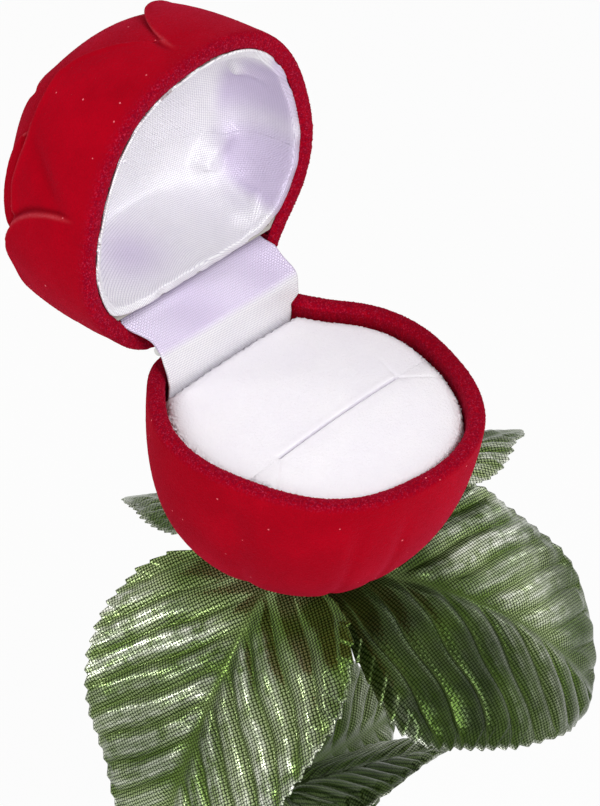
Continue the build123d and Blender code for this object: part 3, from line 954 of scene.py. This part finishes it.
def lining_point(angle, turn, inward):
    """Point of the lining's inner side at a turn, pulled in towards the middle by inward."""
    depth = lining_depth - former_thickness - lining_gap
    point = cup(angle, turn, depth, lid_fullness, crown_radius + wall, lining_inset, lid_crown_wall)
    lean = math.tan(math.radians(lining_back_lean))
    back = lining_back_y - former_thickness - lining_gap - point[..., 2] * lean
    reach = smooth_min(np.hypot(point[..., 0], point[..., 1]), flat_back(angle, back), lining_corner)
    return polar(angle, reach * inward, point[..., 2])


def hem_rings(edge, angle):
    """Rings of the hem, which turns outwards over the card's edge and waves a little."""
    random = np.random.default_rng(3)
    wave = sum(random.normal() / len(hem_waves) ** 0.5
               * np.sin(count * np.radians(angle) + random.uniform(0, 6.3)) for count in hem_waves)
    # the hem is flush with the lip on the left and lies a little deeper on the right
    flush = 0.75 * smooth(0.5 - np.cos(np.radians(angle - 40)) * 0.9)
    rings = []
    for step in np.linspace(0.1, 1, hem_rows) * math.pi:
        ring = edge.copy()
        share = (1 - math.cos(step)) / 2
        ring[:, :2] += at_angle(angle) * ((former_thickness + lining_gap + 0.05) * share)
        swell = (0.12 + 0.10 * wave) * math.sin(step) ** 0.7
        ring[:, 2] = half_gap + lining_recess - swell - flush * share ** 1.5
        rings.append(ring)
    return np.array(rings)


def lining_relief(grid, a, lengths):
    """Height of the folds, the hem's ripples and the yarns of the straight edge over the satin."""
    relief = np.zeros(grid.shape[:2])
    for start, end, width, height in lining_folds:
        relief += height * bell(segment_distance(grid, start, end)[0], width)
    relief += 0.10 * (np.sin(a * 34 + 2.2 * np.sin(a * 5)) * bell(lengths - lengths[-3], 3.5))
    x, y, z = grid[..., 0], grid[..., 1], grid[..., 2]
    at_back = smooth((y - 6.0) / 3.0) * smooth((17.0 - np.abs(x)) / 3.0)
    yarn = np.abs(np.sin(math.pi * (z - 0.9) / 0.75)) * smooth((4.2 - z) / 1.0)
    relief += 0.11 * yarn * at_back
    return relief * smooth((len(grid) - hem_rows - np.arange(len(grid)))[:, None] / 14)


def lining_piece():
    angle = np.linspace(0, 360, lining_columns)[None, :]
    turns, inward = dome_rows(lining_crown_rows, lining_side_rows, 0.985, 0.02)
    grid = lining_point(angle, turns, inward)
    grid[..., 2] -= 0.3 * (1 - inward ** 2)
    grid = np.concatenate([grid, hem_rings(grid[-1], angle[0])])
    steps = np.linalg.norm(np.diff(grid, axis=0), axis=-1)
    lengths = np.concatenate([np.zeros((1, lining_columns)), np.cumsum(steps, axis=0)])
    normal = surface_normal(grid)
    normal *= np.sign((normal * ((0.0, 0.0, 3.0) - grid)).sum(axis=-1, keepdims=True))
    grid = grid + normal * lining_relief(grid, np.radians(angle), lengths)[..., None]
    # painted lilac shade where the satin turns away on the right, and in a patch on the left
    right = smooth((grid[..., 0] - 14.2) / 2.6) * (0.85 - 0.45 * bell(grid[..., 1] + 3.0, 2.6))
    left = 0.75 * bell(np.linalg.norm(grid - (-8.0, 9.0, 8.5), axis=-1), 6.0)
    piece = cloth_piece("lining_satin", to_row(swing(grid)), lining_thickness, satin,
                        at_angle(angle) * lengths[..., None], tone=np.clip(np.maximum(right, left), 0, 1))
    return piece, float(lengths[-1].mean())


lining, lining_reach = lining_piece()
stand_for(lining, "lid_lining", body="lid")


# Satin band over the hinge: its path as (y, z), then up to the lining's hem and under it

band_thickness = 0.35
band_foot = 15.33
band_bend = (17.0, 3.6)
band_path = [(band_foot, -5.0), (band_foot, -1.0), band_bend]
band_corner = 0.9
band_hem_tuck = 3.0
band_columns = 121
band_left, band_right = -14.4, 12.3


def rounded_path(path, radius, step):
    """Points along a path of (y, z) corners, each rounded by a quadratic curve, and their distances."""
    path = [np.array(p, float) for p in path]
    points = [path[0]]
    for before, corner, after in zip(path, path[1:], path[2:]):
        entry = corner + (before - corner) / np.linalg.norm(before - corner) * radius
        leave = corner + (after - corner) / np.linalg.norm(after - corner) * radius
        for t in np.linspace(0, 1, 9):
            points.append((1 - t) ** 2 * entry + 2 * t * (1 - t) * corner + t * t * leave)
    points = np.array(points + [path[-1]])
    length = np.concatenate([[0], np.cumsum(np.linalg.norm(np.diff(points, axis=0), axis=1))])
    at = np.arange(0, length[-1], step)
    return np.stack([np.interp(at, length, points[:, 0]), np.interp(at, length, points[:, 1])], axis=1), at


def swung(y, z):
    """A (y, z) of the shut lid as it is with the lid open."""
    return tuple(swing(np.array([0.0, y, z]))[1:])


def band_piece():
    behind, edge = lining_back_y + former_thickness / 2, half_gap + lining_recess
    hem = swung(behind, edge)
    path, length = rounded_path(band_path + [hem, swung(behind, edge + band_hem_tuck)], band_corner, 0.22)
    base_at, bend_at, hem_at = [length[np.argmin(np.hypot(path[:, 0] - y, path[:, 1] - z))]
                                for y, z in ((band_foot, 0.4), band_bend, hem)]
    left = band_left - 2.9 * smooth((length - bend_at - 2.0) / (hem_at - bend_at - 2.0))
    left = np.where(length > hem_at, left + 0.8 * (length - hem_at), left)
    right = band_right + 1.9 * smooth((length - base_at + 0.6) / 1.2)
    right += 0.7 * bell(length - bend_at - 0.5, 2.5)
    right -= 1.0 * smooth((length - hem_at + 2.2) / 2.2)
    share = np.linspace(0, 1, band_columns)[None, :]
    x = left[:, None] + (right - left)[:, None] * share
    free = (smooth((length - base_at) / 3.0) * smooth((hem_at - length) / 2.0))[:, None]
    length_at = np.repeat(length[:, None], band_columns, axis=1)
    bulge = (0.35 * np.sin(x * 0.16 + 0.6) + 0.18 * np.sin(x * 0.43 + length_at * 0.5)) * free
    grid = np.stack([x, path[:, :1] - bulge * 0.5, path[:, 1:] + bulge * 0.35], axis=-1)
    # painted lilac shade above the band's bend, a little uneven across it
    tone = smooth((length - bend_at + 0.6) / 1.6)[:, None] * (0.95 - 0.12 * np.sin(x * 0.20 + 1.0) ** 2)
    piece = cloth_piece("hinge_satin", to_row(grid), band_thickness, satin,
                        np.stack([x, length_at], axis=-1), tone=tone)
    return piece, length[-1]


band, band_length = band_piece()
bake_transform(band)
stand_for(band, "hinge_band")


# Snap spring: a steel strip from the base's hinge leaf over the pin to the lid's, drawn bent as the open lid
# holds it

spring_width = 5.0
spring_thickness = 0.35
spring_foot = 4.5
spring_bend = 3.0
spring_dish = 0.04
spring_y = leaf_front_y - 0.1 - spring_thickness / 2
spring_corner_z = -0.85


def spring_piece():
    top = swung(spring_y, spring_corner_z)[1] + spring_thickness
    corners = [(spring_y, -spring_foot), (spring_y, top), swung(spring_y, spring_foot)]
    path, _ = rounded_path(corners, spring_bend, 0.12)
    x = np.linspace(-spring_width / 2, spring_width / 2, 21)
    # the strip is slightly dished across its width, as pressed spring strip is
    dish = spring_dish * (x / (spring_width / 2)) ** 2
    grid = np.stack([x + 0 * path[:, :1], path[:, :1] + 0 * x, path[:, 1:] - dish], axis=-1)
    return cloth_piece("spring_strip", to_row(grid), spring_thickness, spring_steel)


spring = spring_piece()
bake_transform(spring)
stand_for(spring, "snap_spring")


# Leaves: pleated woven cloth with saw-toothed edges, each on its moulded rib

calyx_height = 1.7
hub_gap = 0.1
hub_height = 6.0
lower_hub_drop = 57.0
upper_hub_z = stem_length - calyx_height - hub_gap - hub_height / 2
hub_heights = {"upper": upper_hub_z, "lower": upper_hub_z - lower_hub_drop}
# share of the painted highlights on each hub's leaves; the lower leaves get less, as painted shade
hub_shine = {"upper": 1.0, "lower": 0.4}
leaf_thickness = 0.35
leaf_cloth_thickness = 0.7 * leaf_thickness
leaf_rows, leaf_columns = 330, 121
tooth_pitch = 2.4
tooth_depth = 0.7
tooth_lean = 0.8
side_veins = 8.5
vein_lean = 0.95
pleat_height = 0.95
curl_height = 0.9
shine_table = 24
# Node, hub, azimuth, length, width, rise, droop, roll, sweep, cup depth, petiole, height above the
# hub, pointedness and place of the widest part
leaves = [
    ("leaf_front_left", "upper", 194.0, 54.6, 45.5, -23.9, 62.5, 14.3, -1.5, -2.9, 4.5, 1.9, 0.60, 0.32),
    ("leaf_front_right", "upper", 308.6, 60.4, 49.0, 4.8, 74.2, 7.7, 7.3, 2.4, 5.7, -0.6, 0.66, 0.46),
    ("leaf_back_right", "upper", -0.5, 52.9, 26.0, 7.0, 30.6, -25.0, -2.8, 0.7, 4.7, 1.8, 0.89, 0.41),
    ("leaf_back_left", "upper", 71.8, 51.0, 18.6, -19.8, 23.1, 6.3, 3.4, 0.9, 4.3, -1.6, 0.87, 0.40),
    ("lower_leaf_right", "lower", 5.0, 50.0, 36.0, -30.0, 1.0, 54.0, 3.5, 1.3, 4.4, -1.0, 0.72, 0.42),
    ("lower_leaf_front", "lower", -46.0, 30.5, 34.0, 31.5, 13.0, -34.0, 1.0, 3.0, 4.6, 0.5, 0.76, 0.43),
    ("lower_leaf_left", "lower", 200.0, 56.0, 42.0, -15.0, 50.0, 0.0, 0.0, 2.0, 6.0, 0.0, 0.72, 0.42),
]


def blade_points(s, across, place_z, azimuth, length, width, rise, droop, roll, sweep, cup_depth,
                 petiole, height):
    """Points and normals of a leaf's surface at distance s along its midrib and across from it."""
    azimuth, rise, roll = (math.radians(v) for v in (azimuth, rise, roll))
    bend = math.radians(droop) / length
    pitch = rise - bend * s
    out = petiole + (math.sin(rise) - np.sin(pitch)) / bend
    up = (np.cos(pitch) - math.cos(rise)) / bend
    ahead = np.array([math.cos(azimuth), math.sin(azimuth), 0])
    level = np.array([-math.sin(azimuth), math.cos(azimuth), 0])
    vertical = np.array([0, 0, 1.0])
    upright = vertical * np.cos(pitch)[..., None] - ahead * np.sin(pitch)[..., None]
    side = level * math.cos(roll) + upright * math.sin(roll)
    normal = upright * math.cos(roll) - level * math.sin(roll)
    centre = ahead * out[..., None] + vertical * (place_z + height + up)[..., None]
    centre = centre + side * (sweep * (s / length) ** 2)[..., None]
    sag = cup_depth * (across / (width / 2)) ** 2
    return centre + side * across[..., None] - normal * sag[..., None], normal


def leaf_margin(name, length, width, pointedness, widest, random):
    """Distances along the midrib, their shares, the plain half widths and the toothed reach of each side."""
    along = np.linspace(0.0, length, leaf_rows)
    share = along / length
    half = width / 2 * np.abs(np.sin(math.pi * share ** (math.log(0.5) / math.log(widest)))) ** pointedness
    teeth = round(length / tooth_pitch)
    phase = share * teeth % 1.0
    tooth = np.minimum((share * teeth).astype(int), teeth - 1)
    saw = np.where(phase < tooth_lean, phase / tooth_lean, (1 - phase) / (1 - tooth_lean))
    fade = smooth(share * 12) * smooth((1 - share) * 20)
    size = random.uniform(0.75, 1.35, (2, teeth))
    left, right = [half + tooth_depth * saw * fade * side[tooth] for side in size]
    if name == "leaf_front_right":
        left = left * (1 + 0.24 * bell(share - 0.27, 0.17))
    return along, share, half, left, right


def leaf_piece(name, hub, shape, seed):
    length, width = shape[1:3]
    random = np.random.default_rng(seed)
    along, share, half, left, right = leaf_margin(name, length, width, *shape[10:12], random)
    sides = np.linspace(-1, 1, leaf_columns)[None, :]
    reach = np.where(sides < 0, left[:, None], right[:, None])
    across = sides * reach
    s = np.repeat(along[:, None], leaf_columns, axis=1)
    points, normal = blade_points(s, across, hub_heights[hub], *shape[:10])
    distance = np.abs(across)
    outwards = (distance - reach + 0.6) / 0.4
    # pleats run between side veins that lean forward; fold is 0 on a vein and 1 on a crest
    wobble = 0.06 * np.sin(distance * 0.5 + seed)
    order = (s - distance * vein_lean) / (length / side_veins) + 0.35 + wobble
    fold = np.abs(np.sin(math.pi * order))
    body = smooth(distance / 3.0) * smooth((reach - distance) / 4.0)
    pleat = pleat_height * (fold ** 0.7) * body * smooth(share * 6)[:, None]
    crumple = 0.25 * np.sin(s * 0.31 + across * 0.22 + seed)
    crumple += 0.2 * np.sin(s * 0.13 - across * 0.37 + 2 * seed)
    crumple += 0.10 * np.sin(s * 0.9 + across * 0.6) * smooth((distance - 8) / 8)
    relief = pleat + (crumple + 0.4) * smooth(distance / 9.0) - leaf_thickness / 2 - 0.02
    curl = smooth((distance - 0.8 * reach) / (0.2 * reach + 0.5)) * np.sin(s * 0.24 + 1.3 * seed)
    grid = points + normal * (relief + curl_height * curl * smooth(distance / 6))[..., None]
    vein = np.clip(bell(fold, 0.16) * smooth(distance / 1.5) + bell(distance, 0.6), 0, 1)
    # painted highlights on the crests of some pleats and on the threads, in streaky patches
    shine = random.uniform(0.30, 1.0, (2, shine_table))
    shine = shine[(across > 0).astype(int), np.floor(order).astype(int) % shine_table]
    patch = smooth(0.46 + 0.7 * np.sin(s * 0.12 + across * 0.09 + 1.7 * seed))
    # leaf_front_left gets more painted highlight all over
    if name == "leaf_front_left":
        patch = 0.45 + 0.55 * patch
    pale = hub_shine[hub] * (0.40 + 0.75 * patch)
    if name == "leaf_front_right":
        # painted shade: the half beside the other front leaf gets less of the painted highlights
        highlight_share = 0.20 + 0.80 * smooth((across + 8) / 14)
        pale, shine = pale * highlight_share, shine * highlight_share
    ribbon = bell(fold - 0.84, 0.18) + 0.3 * bell(fold - 0.42, 0.08)
    tip = smooth(share * 7 - 1)[:, None]
    crest = ribbon * shine * (0.12 + 0.88 * patch) * smooth(distance / 2.0) * hub_shine[hub] * tip
    # the margin is painted in the crest colour too
    crest = np.clip(crest + 0.45 * (smooth(outwards) * tip), 0, 1)
    piece = cloth_piece(name + "_cloth", grid, leaf_cloth_thickness, leaf_cloth,
                        np.stack([s, across], axis=-1), vein=vein, crest=crest, pale=pale)
    return piece, float((2 * half).sum() * length / leaf_rows)


for seed, (leaf_name, leaf_hub, *leaf_shape) in enumerate(leaves, start=1):
    leaf, leaf_area = leaf_piece(leaf_name, leaf_hub, leaf_shape, seed)
    stand_for(leaf, leaf_name, body="base")


# Finishes of the CAD nodes that stay

finishes = {
    "hinge_leaf_base": hinge_metal, "hinge_leaf_lid": hinge_metal, "hinge_pin": hinge_metal,
    "pad_card": grey_card, "lid_former": grey_card,
    "stem_sleeve": stem_green, "stem_wire": wire_steel, "calyx": stem_green,
    "upper_leaf_hub": rib_green, "lower_leaf_hub": rib_green,
}
for leaf_name, *_ in leaves:
    finishes[leaf_name + "_rib"] = rib_green
for node_name, finish in finishes.items():
    for slot in nodes[node_name].material_slots:
        slot.material = finish

bpy.context.scene.view_settings.view_transform = "Standard"
